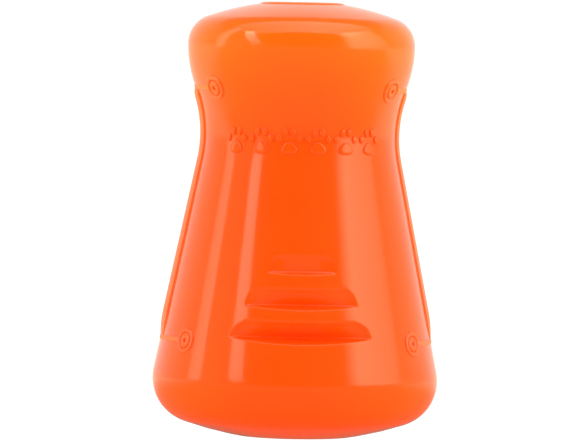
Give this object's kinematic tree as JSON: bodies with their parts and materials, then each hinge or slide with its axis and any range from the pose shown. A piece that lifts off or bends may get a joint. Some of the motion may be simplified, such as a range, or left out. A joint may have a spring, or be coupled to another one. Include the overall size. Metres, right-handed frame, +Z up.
{
  "type": "dog training bumper",
  "caption": "Waisted hollow rubber training bumper with domed cap, stepped grip notches, studded side rails, line hole and sprung treat flaps in the base.",
  "frame": {"origin": "on the ground plane under the axis, at the centre of the base opening", "axes": "+Z up along the axis towards the cap, the relief band and grip notches face -Y, +X to the right seen from the front"},
  "size_m": [0.0824, 0.0824, 0.1252],
  "materials": {
    "shell_rubber": "glossy moulded rubber",
    "rail_rubber": "satin moulded rubber",
    "stud_rubber": "satin moulded rubber",
    "ring_rubber": "satin moulded rubber",
    "grommet_rubber": "satin moulded rubber",
    "gate_rubber": "satin moulded rubber"
  },
  "bodies": {
    "root": {"body_shell": "shell_rubber", "left_side_rail": "rail_rubber", "right_side_rail": "rail_rubber", "stud_front_left_upper": "stud_rubber", "stud_front_left_lower": "stud_rubber", "stud_front_right_upper": "stud_rubber", "stud_front_right_lower": "stud_rubber", "stud_back_left_upper": "stud_rubber", "stud_back_left_lower": "stud_rubber", "stud_back_right_upper": "stud_rubber", "stud_back_right_lower": "stud_rubber", "ring_front_left_upper": "ring_rubber", "ring_front_left_lower": "ring_rubber", "ring_front_right_upper": "ring_rubber", "ring_front_right_lower": "ring_rubber", "ring_back_left_upper": "ring_rubber", "ring_back_left_lower": "ring_rubber", "ring_back_right_upper": "ring_rubber", "ring_back_right_lower": "ring_rubber", "top_grommet": "grommet_rubber", "gate_ring": "gate_rubber"},
    "flap_front": {"gate_flap_front": "gate_rubber"},
    "flap_right": {"gate_flap_right": "gate_rubber"},
    "flap_back": {"gate_flap_back": "gate_rubber"},
    "flap_left": {"gate_flap_left": "gate_rubber"}
  },
  "joints": [
    {"name": "flap_front_bend", "type": "hinge", "parent": "root", "child": "flap_front", "pos_m": [0, -0.0094, 0.006], "axis": [1, 0, 0], "range_deg": [-25, 65], "stiffness_Nm_per_rad": 0.004},
    {"name": "flap_right_bend", "type": "hinge", "parent": "root", "child": "flap_right", "pos_m": [0.0094, 0, 0.006], "axis": [0, 1, 0], "range_deg": [-25, 65], "stiffness_Nm_per_rad": 0.004},
    {"name": "flap_back_bend", "type": "hinge", "parent": "root", "child": "flap_back", "pos_m": [0, 0.0094, 0.006], "axis": [-1, 0, 0], "range_deg": [-25, 65], "stiffness_Nm_per_rad": 0.004},
    {"name": "flap_left_bend", "type": "hinge", "parent": "root", "child": "flap_left", "pos_m": [-0.0094, 0, 0.006], "axis": [0, -1, 0], "range_deg": [-25, 65], "stiffness_Nm_per_rad": 0.004}
  ]
}
